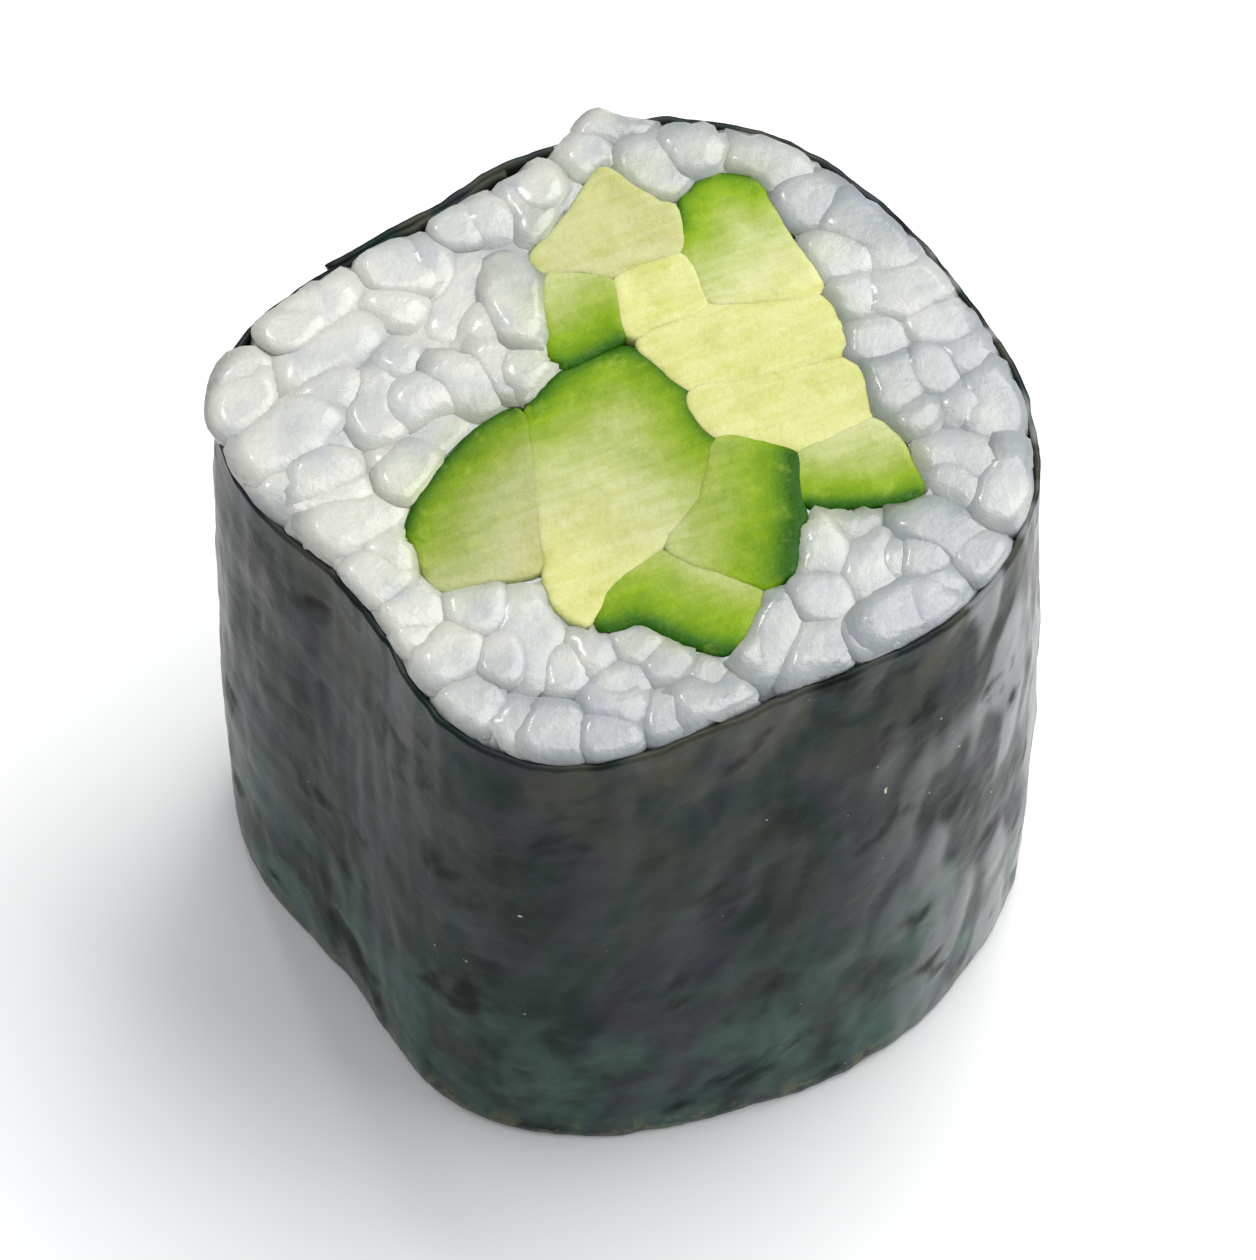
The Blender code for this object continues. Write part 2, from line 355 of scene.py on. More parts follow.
def nori_material():
    """Charcoal seaweed: olive near the rim, teal near the foot, with a painted grey sheen on the right.
    """
    nodes = Nodes("nori")
    place = nodes.add("SeparateXYZ", Vector=nodes.place()).outputs
    cloud = nodes.noise(4.0, 2.5, 0.5)
    colour = nodes.ramp(cloud, [(0.34, (0.001, 0.003, 0.003)), (0.44, (0.003, 0.010, 0.008)),
                                (0.52, (0.006, 0.015, 0.013)), (0.60, (0.016, 0.015, 0.023)),
                                (0.74, (0.024, 0.027, 0.031))])
    olive = nodes.noise(2.6, 2.0, 0.5, 0.0, nodes.stretched((1.0, 1.0, 1.6)))
    olive = nodes.spread(olive, 0.43, 0.60)
    high = nodes.spread(place["Z"], 0.014, 0.025, 0.1, 0.8)
    colour = nodes.mix(nodes.times(olive, high), colour, (0.046, 0.046, 0.030))
    teal = nodes.spread(nodes.noise(3.0, 3.0, 0.55), 0.36, 0.64)
    low = nodes.spread(place["Z"], 0.002, 0.013, 0.95, 0.08)
    colour = nodes.mix(nodes.times(teal, low), colour, (0.038, 0.080, 0.064))
    # Painted sheen: the lean, streaks, side and shine below paint pale grey streaks into the colour on
    # the right side, as a painted highlight in place of wet gloss. The streaks also make the creases of
    # the bump.
    lean = (0.0, math.radians(24), 0.0)
    streaks = nodes.noise(1.9, 1.0, 0.5, 0.0, nodes.stretched((1.0, 1.0, 5.0), lean))
    side = nodes.spread(place["X"], 0.0075, 0.0140, 0.06, 1.0)
    painted_sheen = nodes.times(nodes.spread(streaks, 0.44, 0.60), side)
    colour = nodes.mix(nodes.times(painted_sheen, 0.90), colour, (0.220, 0.228, 0.228))
    across = (0.0, math.radians(60), 0.0)
    blotch = nodes.noise(2.3, 3.0, 0.5, 0.2, nodes.stretched((1.0, 1.0, 2.2), across))
    dark = nodes.spread(blotch, 0.27, 0.42, 1.0, 0.0)
    colour = nodes.mix(nodes.times(dark, 0.92), colour, (0.0010, 0.0018, 0.0018))
    fibre = nodes.noise(0.5, 3.0, 0.6, 0.5)
    colour = nodes.mix(nodes.spread(fibre, 0.50, 0.85, 0.0, 0.25), colour, (0.035, 0.045, 0.040))
    speck = nodes.spread(nodes.noise(0.32, 1.0, 0.5), 0.80, 0.83)
    colour = nodes.mix(speck, colour, (0.45, 0.42, 0.30))
    hem = nodes.times(nodes.spread(place["Z"], 0.0004, 0.0016, 0.8, 0.0),
                      nodes.spread(nodes.noise(0.8, 2.0, 0.6), 0.48, 0.60))
    colour = nodes.mix(hem, colour, (0.110, 0.115, 0.060))
    pores = nodes.add("TexVoronoi", Scale=1 / (0.6 * MM))
    nodes.put(pores, "Vector", nodes.place())
    relief = nodes.math("ADD", nodes.times(fibre, 0.6), nodes.times(pores.outputs["Distance"], 0.3))
    normal = nodes.bump(streaks, 0.16, nodes.bump(relief, 0.028))
    rough = nodes.math("ADD", nodes.spread(cloud, 0.3, 0.75, 0.26, 0.34), nodes.times(dark, 0.2))
    nodes.surface(Base_Color=colour, Roughness=rough, Normal=normal, Specular_IOR_Level=0.10,
                  Sheen_Weight=0.04, Sheen_Roughness=0.3, Sheen_Tint=(0.90, 0.90, 1.0, 1.0))
    return nodes.material


def rice_material():
    """Glossy rice with painted light and shade: pale on the left, darker and bluer to the right, front
    and back; green by the sticks.
    """
    nodes = Nodes("rice")
    place = nodes.add("SeparateXYZ", Vector=nodes.place()).outputs
    tone = nodes.attribute("tone")
    heart = nodes.attribute("heart")
    juice = nodes.attribute("juice")
    # Painted light and shade: cloud and ends run from the pale, warm colour on the left to a darker,
    # bluer one to the right, front and back, by place on the object. The noise in cloud is the rice's
    # own uneven tone.
    cloud = nodes.math("MULTIPLY_ADD", place["X"], -10.0, nodes.noise(4.5, 3.0, 0.55))
    ends = nodes.math("MINIMUM", nodes.times(place["Y"], 10.0), nodes.times(place["Y"], -5.0))
    cloud = nodes.math("ADD", cloud, nodes.math("ADD", ends, 0.04))
    wisp = nodes.noise(1.4, 3.0, 0.6)
    colour = nodes.mix(nodes.spread(cloud, 0.32, 0.68), (0.215, 0.234, 0.243), (0.455, 0.46, 0.405))
    colour = nodes.mix(nodes.spread(tone, 0.0, 1.0, 0.0, 0.16), colour, (0.48, 0.49, 0.48))
    colour = nodes.mix(nodes.spread(heart, 0.30, 0.95, 0.18, 0.0), colour, (0.56, 0.57, 0.55))
    colour = nodes.mix(nodes.spread(wisp, 0.50, 0.75, 0.0, 0.4), colour, (0.29, 0.30, 0.375))
    wet = nodes.spread(nodes.noise(2.4, 2.0, 0.5), 0.38, 0.62, 0.3, 1.0)
    colour = nodes.mix(nodes.times(juice, wet), colour, (0.72, 0.80, 0.46), "MULTIPLY")
    fine = nodes.noise(0.42, 3.0, 0.6)
    normal = nodes.bump(fine, 0.05)
    nodes.surface(Base_Color=colour, Roughness=nodes.spread(wisp, 0.3, 0.7, 0.26, 0.40), Normal=normal,
                  Subsurface_Weight=0.08, Subsurface_Radius=(1.0, 1.0, 1.0), Subsurface_Scale=0.4 * MM,
                  Coat_Weight=0.30, Coat_Roughness=0.10)
    return nodes.material


# The depth under the skin, in millimetres, at the far end of the cucumber's colours
RAMP_DEPTH = 8.0


def cucumber_material():
    """Cucumber by its depth under the skin: dark green, green flesh, then pale yellow pith."""
    nodes = Nodes("cucumber")
    depth = nodes.attribute("skin_depth")
    wander = nodes.math("MULTIPLY_ADD", nodes.noise(1.3, 4.0, 0.6), 1.7, -0.85)
    loose = nodes.spread(depth, 0.15, 1.4, 0.10, 1.0)
    depth = nodes.math("ADD", depth, nodes.times(wander, loose))
    colour = nodes.ramp(nodes.math("DIVIDE", depth, RAMP_DEPTH),
                        [(0.0, (0.018, 0.090, 0.002)), (0.018, (0.028, 0.105, 0.001)),
                         (0.040, (0.078, 0.180, 0.001)), (0.068, (0.140, 0.255, 0.001)),
                         (0.12, (0.215, 0.325, 0.008)), (0.21, (0.300, 0.370, 0.070)),
                         (0.32, (0.420, 0.455, 0.190)), (0.50, (0.500, 0.515, 0.262)),
                         (0.80, (0.575, 0.580, 0.250))])
    shade = nodes.attribute("shade")
    grey = nodes.add("CombineColor", Red=shade, Green=shade, Blue=shade).outputs["Color"]
    colour = nodes.mix(1.0, colour, grey, "MULTIPLY")
    lean = (0.0, 0.0, math.radians(22))
    streak = nodes.noise(0.42, 3.0, 0.6, 0.2, nodes.stretched((6.0, 1.0, 1.0), lean))
    pith = nodes.spread(depth, 2.4, 4.6)
    stain = nodes.mix(pith, (0.78, 0.85, 0.55), (0.88, 0.88, 0.62))
    colour = nodes.mix(nodes.spread(streak, 0.36, 0.62, 0.6, 0.0), colour, stain, "MULTIPLY")
    mottle = nodes.noise(1.6, 4.0, 0.6, 0.4)
    stain = nodes.mix(pith, (0.80, 0.88, 0.64), (0.87, 0.87, 0.66))
    colour = nodes.mix(nodes.spread(mottle, 0.46, 0.66, 0.0, 0.7), colour, stain, "MULTIPLY")
    pale = nodes.noise(0.9, 3.0, 0.6, 0.3)
    colour = nodes.mix(nodes.spread(pale, 0.55, 0.78, 0.0, 0.30), colour,
                       nodes.mix(pith, (0.42, 0.50, 0.08), (0.60, 0.62, 0.32)))
    cells = nodes.noise(0.25, 3.0, 0.6)
    relief = nodes.math("ADD", nodes.times(streak, 0.6), nodes.times(cells, 0.4))
    normal = nodes.bump(relief, 0.12)
    nodes.surface(Base_Color=colour, Roughness=nodes.spread(cells, 0.3, 0.7, 0.30, 0.44), Normal=normal,
                  Subsurface_Weight=0.2, Subsurface_Radius=(0.8, 1.0, 0.5), Subsurface_Scale=0.6 * MM,
                  Specular_IOR_Level=0.10)
    return nodes.material


# ---- cucumber sticks

STICK_SEED = 7
STICK_AROUND = 160
STICK_GROW = 0.23
STICK_ROUGH = 0.10
# A stick grows towards one that it faces: from how far, over how far that eases in, how far
# into it, and how squarely the two have to face
STICK_REACH = 1.4
STICK_REACH_EASE = 0.4
STICK_PRESS = 0.12
FACING_LOW = 0.1
FACING_RANGE = 0.5
EASE_STEPS = 5
# A stick's cut face: its drop and inset round the rim, then its rings towards the middle
RIM_STEPS = ((0.16, 0.0), (0.075, 0.03), (0.034, 0.09), (0.010, 0.18), (0.0, 0.30))
INWARD_SHARES = (0.9, 0.78, 0.66, 0.54, 0.42, 0.30, 0.19, 0.09)
END_LIFT = 0.03
END_TILT = 0.006
END_ROUGH = 0.06
END_HOLLOW = 0.05
END_EDGE = 0.99
# Keeps the noise on a stick's two ends apart
END_NOISE_HEIGHT = 40.0
FLESH_DEPTH = 6.5


def distance_to_line(points, line):
    """Distance in plan from each point to a run of line segments."""
    best = np.full(len(points), np.inf)
    for start, end in zip(line[:-1], line[1:]):
        along = end - start
        share = np.clip(((points - start) @ along) / (along @ along), 0, 1)
        best = np.minimum(best, np.linalg.norm(points - start - share[:, None] * along, axis=1))
    return best


def skin_lines(plain, loop, faces):
    """The runs of a grown outline whose normals, in the plain one, fall between two headings."""
    normals = outward(plain)
    headings = np.degrees(np.arctan2(normals[:, 1], normals[:, 0]))
    low, high = faces
    skin = np.mod(headings - low, 360) <= high - low
    if not skin.any():
        return []
    start = next(index for index in range(len(loop)) if skin[index] and not skin[index - 1])
    runs, run = [], []
    for step in range(len(loop) + 1):
        index = (start + step) % len(loop)
        if skin[index] and step < len(loop):
            run.append(loop[index])
        elif run:
            if len(run) > 2:
                runs.append(np.array(run))
            run = []
    return runs


def stick_depths(points, plain, loop, skin):
    """How deep under the skin each point lies, in millimetres."""
    if skin is None:
        return np.full(len(points), FLESH_DEPTH)
    best = np.full(len(points), np.inf)
    for line in skin_lines(plain, loop, skin):
        best = np.minimum(best, distance_to_line(points, line))
    return best


def polygon_room(points, polygon):
    """Signed distance in plan to a closed polygon, positive inside, and the nearest points on it."""
    start = polygon
    along = np.roll(polygon, -1, axis=0) - start
    offset = points[:, None, :] - start[None]
    share = np.clip((offset * along).sum(2) / (along * along).sum(1), 0, 1)
    nearest = start + share[..., None] * along
    gap = np.linalg.norm(points[:, None, :] - nearest, axis=2)
    pick = gap.argmin(1)
    rows = np.arange(len(points))
    end = start + along
    crosses = (start[None, :, 1] > points[:, None, 1]) != (end[None, :, 1] > points[:, None, 1])
    rise = np.where(along[:, 1] == 0, TINY, along[:, 1])
    cross_x = start[:, 0] + (points[:, None, 1] - start[:, 1]) * along[:, 0] / rise
    inside = (crosses & (points[:, None, 0] < cross_x)).sum(1) % 2 == 1
    return np.where(inside, 1.0, -1.0) * gap[rows, pick], nearest[rows, pick]


def eased(values):
    """Values round an outline, evened out over a few neighbours."""
    window = np.hanning(2 * EASE_STEPS + 3)[1:-1]
    shifts = range(-EASE_STEPS, EASE_STEPS + 1)
    turned = [np.roll(values, shift, axis=0) * share for shift, share in zip(shifts, window)]
    return np.sum(turned, axis=0) / window.sum()


def meeting_growth(loop, others):
    """How far each point of an outline grows to press on a stick that it faces."""
    growth = np.zeros(len(loop))
    normals = outward(loop)
    for other in others:
        room, nearest = polygon_room(loop, other)
        gap = np.abs(room)
        facing = ((nearest - loop) * normals).sum(1) / (gap + TOUCHING)
        share = np.clip((facing - FACING_LOW) / FACING_RANGE, 0, 1)
        share *= np.clip((STICK_REACH - gap) / STICK_REACH_EASE, 0, 1)
        growth = np.maximum(growth, share * (gap / 2 + STICK_PRESS))
    return growth


def stick_rings():
    """Every stick's outlines, level by level: as in the CAD, and grown to meet the neighbours."""
    plain = {node: resampled(stick_levels(node), STICK_AROUND) for node in STICKS}
    found = {}
    for node, levels in plain.items():
        grown = levels.copy()
        for level, (ring, source) in enumerate(zip(grown, levels)):
            others = [plain[other][level][:, :2] for other in STICKS if other != node]
            growth = np.maximum(eased(meeting_growth(source[:, :2], others)), STICK_GROW)
            growth += STICK_ROUGH * fbm(source, scale=1.5, seed=8.0)
            ring[:, :2] += eased(outward(source[:, :2])) * growth[:, None]
        found[node] = (levels, grown)
    return found


def end_rings(ring, sign, middle, lift, tilt):
    """The rim and cut face at one end of a stick, from the wall to near the middle."""
    loop = ring[:, :2]
    centre = loop.mean(0)
    normals = outward(loop)
    steps = [(loop - normals * inset, -drop) for drop, inset in RIM_STEPS]
    inner = steps[-1][0]
    steps += [(centre + (inner - centre) * share, 0.0) for share in INWARD_SHARES]
    found = []
    for points, drop in steps:
        face = cut_height(points[:, 0], points[:, 1]) if sign > 0 else np.zeros(len(points))
        level = face + sign * (drop + lift + (points - middle) @ tilt)
        flat = np.column_stack([points, np.full(len(points), END_NOISE_HEIGHT * sign)])
        share = np.linalg.norm(points - centre, axis=1) / np.linalg.norm(loop - centre, axis=1)
        uneven = END_ROUGH * fbm(flat, scale=2.2, seed=3.0) - END_HOLLOW * (1 - share ** 2)
        level += sign * uneven * (share < END_EDGE)
        if sign < 0:
            level = np.maximum(level, FLOOR_GAP)
        found.append(np.column_stack([points, level]))
    return found


def make_stick(node, rings_of, material, rng):
    """One stick: its outlines closed up to its neighbours, rims rounded, cut ends slightly uneven."""
    levels, grown = rings_of[node]
    skin, thick, light, fade = STICK_LOOKS[node.removeprefix("cucumber_")]
    lift = rng.uniform(-END_LIFT, END_LIFT)
    tilt = rng.normal(0, END_TILT, 2)
    middle = grown[-1][:, :2].mean(0)
    lower = end_rings(grown[0], -1, middle, lift, tilt)[::-1]
    upper = end_rings(grown[-1], 1, middle, lift, tilt)
    rings = lower + list(grown[1:-1]) + upper
    vertices = np.concatenate(rings)
    faces = strip_faces(len(rings), STICK_AROUND)
    depths = []
    for index, ring in enumerate(rings):
        level = min(max(index - len(lower) + 1, 0), LEVELS)
        depths.append(stick_depths(ring[:, :2], levels[level][:, :2], grown[level][:, :2], skin))
    depths = np.concatenate(depths)
    for ring, order in ((0, -1), (len(rings) - 1, 1)):
        hub = len(vertices)
        first = ring * STICK_AROUND
        vertices = np.concatenate([vertices, rings[ring].mean(0)[None]])
        depths = np.append(depths, depths[first:first + STICK_AROUND].mean())
        for step in range(STICK_AROUND):
            here, there = first + step, first + (step + 1) % STICK_AROUND
            faces.append((here, there, hub) if order > 0 else (there, here, hub))
    attributes = {"skin_depth": np.maximum(depths - thick, 0.0) * fade,
                  "shade": np.full(len(depths), light)}
    return make_object(node + "_cut", vertices, faces, material, [node], attributes)


# ---- rice

RICE_SEED = 42
GRAIN_HALF = (1.90, 1.70, 3.2)
GRAIN_VARY = (0.05, 0.06, 0.08)
GRAIN_POWER = 2.3
BEND_VARY = 0.035
PLUMP_VARY = 0.04
# Each grain is packed as three balls along its axis, which push each other apart
PACK_TRIES = 4000
PACK_CLEAR = 0.8
PACK_DEPTH = 3.8
PACK_OVER = 2.4
PACK_LEAN = 0.75
PACK_STEPS = 150
PACK_TIGHT = 1.22
BALL_RADIUS = 1.18
BALL_REACH = 1.4
BALL_SQUASH = 0.94
BALL_PUSH = 0.32
WALL_SQUASH = 0.93
WALL_PUSH = 0.6
LEVEL_PUSH = 0.5
# Grains that would end just under the cut are raised to it, and gaps in the face are filled
FACE_REACH = 1.5
FACE_OVER = 0.85
FACE_SPREAD = 0.10
FILL_STEP = 0.35
FILL_ROOM = 0.35
FILL_DEPTH = 0.95
FILL_MARGIN = 1.0
FILL_LEAN = 0.15
# Each grain's own stretch of the cut: its height and tilt, and how far down a few have sunk
CUT_SHIFT = (0.05, 0.025)
CUT_TILT = 0.020
CUT_SUNK = 0.18
CUT_SUNK_SHARE = 0.07
# How widely the corners are rounded between grains, at the cut and at the walls
CREASE = 0.70
FACE_CREASE = 0.30
WALL_CREASE = 0.30
OVERLAP = (0.50, 0.05)
CORNER_SHARP = 3.5
NEIGHBOUR = 7.0
# A grain's skin is found by looking out from a point in it, of which several are tried
INSIDE_BY = 0.1
INSIDE_TRIES = 900
INSIDE_FEWEST = 5
CENTRES = 9
GRAIN_FAR = 4.5
GRAIN_STRIDE = 0.25
GRAIN_HALVINGS = 7
LEAP = 0.18
SPIKE = 1.35
SPIKE_ROUNDS = 3
UPPER_GRAIN = (24, 16)
LOWER_GRAIN = (16, 12)
HIDDEN_BELOW = -0.9
HEART_REACH = 1.5
JUICE_REACH = 0.75
# The grid that holds the room for rice in plan
ROOM_STEP = 0.15
ROOM_MARGIN = 2.0
ROOM_PARTS = 20
ROOM_FAR = 9.0
OVERHANG_RISE = 0.7
# How far grains reach into a stick, the wrap and over its rim, and where their beds are outlined
RICE_INTO_STICK = 0.16
RICE_UNDER_RIM = 0.10
RICE_OVER_RIM = 0.16
TOP_SHARE = 0.95
FOOT_SHARE = 0.03
FLOOR_GAP = 0.02
LOWER_LIFT = 0.15
# The smaller core: how far inside the cuts it ends, how much further by the wrap, and its look
CORE_SINK = 0.15
CORE_SLOPE = 0.40
CORE_SLOPE_WIDTH = 0.9
CORE_CUT_ZONE = 1.0
CORE_ROUGH = 0.05
CORE_LUMP = 1.4
CORE_LOOK = {"tone": 0.5, "heart": 0.9, "juice": 0.0}
# The share of the overhang that grains are packed into
SPILL_PACKED = 0.8
# Where the rice hangs over the wrap: the heading and width in degrees, and how far
SPILLS = ((173, 13, 0.75), (95, 5, 0.95))


def spill(heading):
    """How far the rice hangs over the wrap: at the roll's pointed left corner and at the back."""
    found = 0.0
    for middle, width, reach in SPILLS:
        turn = np.mod(heading - math.radians(middle) + math.pi, math.tau) - math.pi
        found = found + reach * np.exp(-(turn / math.radians(width)) ** 2)
    return found


def rice_room(points, wall, holes):
    """Room left in plan for rice at each point: distance to the wrap or a stick, negative outside."""
    best, nearest = polygon_room(points, wall)
    for hole in holes:
        gap, near = polygon_room(points, hole)
        closer = -gap < best
        best = np.where(closer, -gap, best)
        nearest = np.where(closer[:, None], near, nearest)
    return best, nearest


def packed_grains(wall, holes, rng):
    """Grains pressed together in the rice bed near a cut face.

    Places are x, y and the height above the cut, which is negative inside. Returns each
    grain's middle and its long axis.
    """
    low, high = wall.min(0), wall.max(0)
    tries = rng.uniform(low, high, (PACK_TRIES, 2))
    room, _ = rice_room(tries, wall, holes)
    area = (room > 0).mean() * np.prod(high - low)
    volume = math.pi * BALL_RADIUS ** 2 * (2 * BALL_REACH + 4 / 3 * BALL_RADIUS)
    count = int(area * (PACK_DEPTH + PACK_OVER) * PACK_TIGHT / volume)
    start = tries[room > PACK_CLEAR][:count]
    middles = np.column_stack([start, rng.uniform(-PACK_DEPTH, PACK_OVER, len(start))])
    axes = rng.normal(size=(len(start), 3)) * (1.0, 1.0, PACK_LEAN)
    axes /= np.linalg.norm(axes, axis=1)[:, None]
    reach = np.array([-1.0, 0.0, 1.0])[None, :, None] * BALL_REACH
    owner = np.repeat(np.arange(len(start)), 3)
    for _ in range(PACK_STEPS):
        balls = (middles[:, None, :] + reach * axes[:, None, :]).reshape(-1, 3)
        offset = balls[:, None, :] - balls[None]
        gap = np.linalg.norm(offset, axis=2) + TINY
        press = np.clip(2 * BALL_RADIUS * BALL_SQUASH - gap, 0, None)
        press[owner[:, None] == owner[None]] = 0
        push = (offset / gap[..., None] * press[..., None]).sum(1) * BALL_PUSH
        room, near = rice_room(balls[:, :2], wall, holes)
        short = BALL_RADIUS * WALL_SQUASH - room
        away = np.where(room[:, None] > 0, balls[:, :2] - near, near - balls[:, :2])
        away /= np.linalg.norm(away, axis=1)[:, None] + TINY
        push[:, :2] += away * np.clip(short, 0, None)[:, None] * WALL_PUSH
        push[:, 2] += np.clip(-PACK_DEPTH - balls[:, 2], 0, None) * LEVEL_PUSH
        push[:, 2] -= np.clip(balls[:, 2] - PACK_OVER, 0, None) * LEVEL_PUSH
        push = push.reshape(-1, 3, 3)
        middles += push.mean(1)
        ends = 2 * reach[0, 2, 0] * axes + (push[:, 2] - push[:, 0])
        axes = ends / np.linalg.norm(ends, axis=1)[:, None]
    return raised_to_face(middles, axes, rng), axes


def raised_to_face(middles, axes, rng):
    """Lift the grains that would end just under the cut, so that their tops lie in it."""
    tops = middles[:, 2] + BALL_REACH * np.abs(axes[:, 2]) + BALL_RADIUS
    shallow = (tops > -FACE_REACH) & (tops < FACE_OVER)
    wanted = FACE_OVER + rng.uniform(-FACE_SPREAD, FACE_SPREAD, len(middles))
    raised = middles.copy()
    raised[:, 2] += np.where(shallow, wanted - tops, 0.0)
    return raised


def soft_max(first, second, width):
    """The larger of two values, with the corner between them rounded over a width."""
    share = np.clip(0.5 + 0.5 * (first - second) / width, 0, 1)
    return second + (first - second) * share + width * share * (1 - share)


def grain_frame(axis, rng):
    """Two unit vectors across a grain's long axis, turned at random about it."""
    helper = np.array([0.0, 0.0, 1.0]) if abs(axis[2]) < 0.9 else np.array([1.0, 0.0, 0.0])
    side = np.cross(axis, helper)
    side /= np.linalg.norm(side)
    other = np.cross(axis, side)
    turn = rng.uniform(0, math.tau)
    cos, sin = math.cos(turn), math.sin(turn)
    return side * cos + other * sin, other * cos - side * sin


def sphere_directions(around, along):
    """Unit directions on a ball, ring by ring, and the faces that join them."""
    directions = [(0.0, 0.0, 1.0)]
    for ring in range(1, along):
        polar = math.pi * ring / along
        for step in range(around):
            heading = math.tau * (step + 0.5 * (ring % 2)) / around
            directions.append((math.sin(polar) * math.cos(heading), math.sin(polar) * math.sin(heading),
                               math.cos(polar)))
    directions.append((0.0, 0.0, -1.0))
    last = len(directions) - 1
    faces = []
    for step in range(around):
        after = (step + 1) % around
        faces.append((0, 1 + step, 1 + after))
        for ring in range(along - 2):
            near, far = 1 + ring * around, 1 + (ring + 1) * around
            faces.append((near + step, far + step, far + after, near + after))
        near = 1 + (along - 2) * around
        faces.append((near + step, last, near + after))
    return np.array(directions), faces


class Grain:
    """One cooked grain: a plump, slightly bent ellipsoid."""

    def __init__(self, middle, axis, rng):
        self.middle = middle
        side, other = grain_frame(axis, rng)
        self.basis = np.array([side, other, axis])
        self.half = np.array(GRAIN_HALF) * rng.normal(1.0, GRAIN_VARY)
        self.bend = rng.normal(0, BEND_VARY)
        self.plump = rng.normal(1.0, PLUMP_VARY)
        self.plane_shift = rng.normal(*CUT_SHIFT) - CUT_SUNK * (rng.uniform() < CUT_SUNK_SHARE)
        self.plane_tilt = rng.normal(0, CUT_TILT, 2)
        self.tone = rng.uniform(0, 1)
        self.overlap = rng.normal(*OVERLAP)

    def inside(self, points):
        """Below 0 inside the grain, in millimetres near its surface."""
        local = (points - self.middle) @ self.basis.T
        local[..., 0] -= self.bend * local[..., 2] ** 2
        scaled = np.abs(local / self.half)
        value = (scaled[..., 0] ** 2 + scaled[..., 1] ** 2) ** (GRAIN_POWER / 2)
        value = value + scaled[..., 2] ** GRAIN_POWER
        return (value ** (1 / GRAIN_POWER) - 1) * self.half[1]

    def above_cut(self, points):
        """Height above this grain's own stretch of the cut face."""
        level = self.plane_shift + (points[..., :2] - self.middle[:2]) @ self.plane_tilt
        return points[..., 2] - level


def line_distance(grain, points):
    """Distance from each point to a grain's middle line."""
    offset = points - grain.middle
    share = np.clip(offset @ grain.basis[2], -BALL_REACH, BALL_REACH)
    return np.linalg.norm(offset - share[..., None] * grain.basis[2], axis=-1) / grain.plump


def fill_gaps(grains, room_at, wall, rng):
    """More grains wherever the cut face would show none."""
    low, high = wall.min(0) - FILL_MARGIN, wall.max(0) + FILL_MARGIN
    lines = [np.arange(start, end, FILL_STEP) for start, end in zip(low, high)]
    spots = np.stack(np.meshgrid(*lines), -1).reshape(-1, 2)
    level = np.full(len(spots), -INSIDE_BY)
    spots = np.column_stack([spots, level])[room_at(spots, level) > FILL_ROOM]
    bare = np.min([grain.inside(spots) for grain in grains], axis=0)
    while bare.max() > -INSIDE_BY:
        middle = spots[bare.argmax()] + (0, 0, -FILL_DEPTH)
        axis = rng.normal(size=3) * (1.0, 1.0, FILL_LEAN)
        grains.append(Grain(middle, axis / np.linalg.norm(axis), rng))
        bare = np.minimum(bare, grains[-1].inside(spots))
        bare[np.linalg.norm(spots[:, :2] - middle[:2], axis=1) < FILL_STEP] = -np.inf


def blunted(reaches, edges):
    """Reaches from a centre with lone spikes cut back towards the mean of their neighbours."""
    for _ in range(SPIKE_ROUNDS):
        totals = np.zeros(len(reaches))
        np.add.at(totals, edges[:, 0], reaches[edges[:, 1]])
        np.add.at(totals, edges[:, 1], reaches[edges[:, 0]])
        counts = np.bincount(edges.ravel(), minlength=len(reaches))
        reaches = np.minimum(reaches, SPIKE * totals / counts)
    return reaches


def grain_skin(value, centre, directions, edges):
    """A grain's skin seen from its centre: the first way out in each direction."""
    far = np.full(len(directions), GRAIN_FAR)
    for reach in np.arange(GRAIN_FAR - GRAIN_STRIDE, 0, -GRAIN_STRIDE):
        outside = value(centre + directions * reach) > 0
        far = np.where(outside, reach, far)
    near = far - GRAIN_STRIDE
    for _ in range(GRAIN_HALVINGS):
        probe = (near + far) / 2
        outside = value(centre + directions * probe[:, None]) > 0
        far = np.where(outside, probe, far)
        near = np.where(outside, near, probe)
    return centre + directions * blunted(near, edges)[:, None]


def smoothest_skin(value, centres, directions, edges):
    """The skin with the fewest edges that leap from one fold of the grain to another."""
    best, fewest = None, np.inf
    for centre in centres:
        skin = grain_skin(value, centre, directions, edges)
        middles = skin[edges].mean(1)
        leaps = (np.abs(value(middles)) > LEAP) & (middles[:, 2] > HIDDEN_BELOW)
        if leaps.sum() < fewest:
            best, fewest = skin, leaps.sum()
        if fewest == 0:
            break
    return best


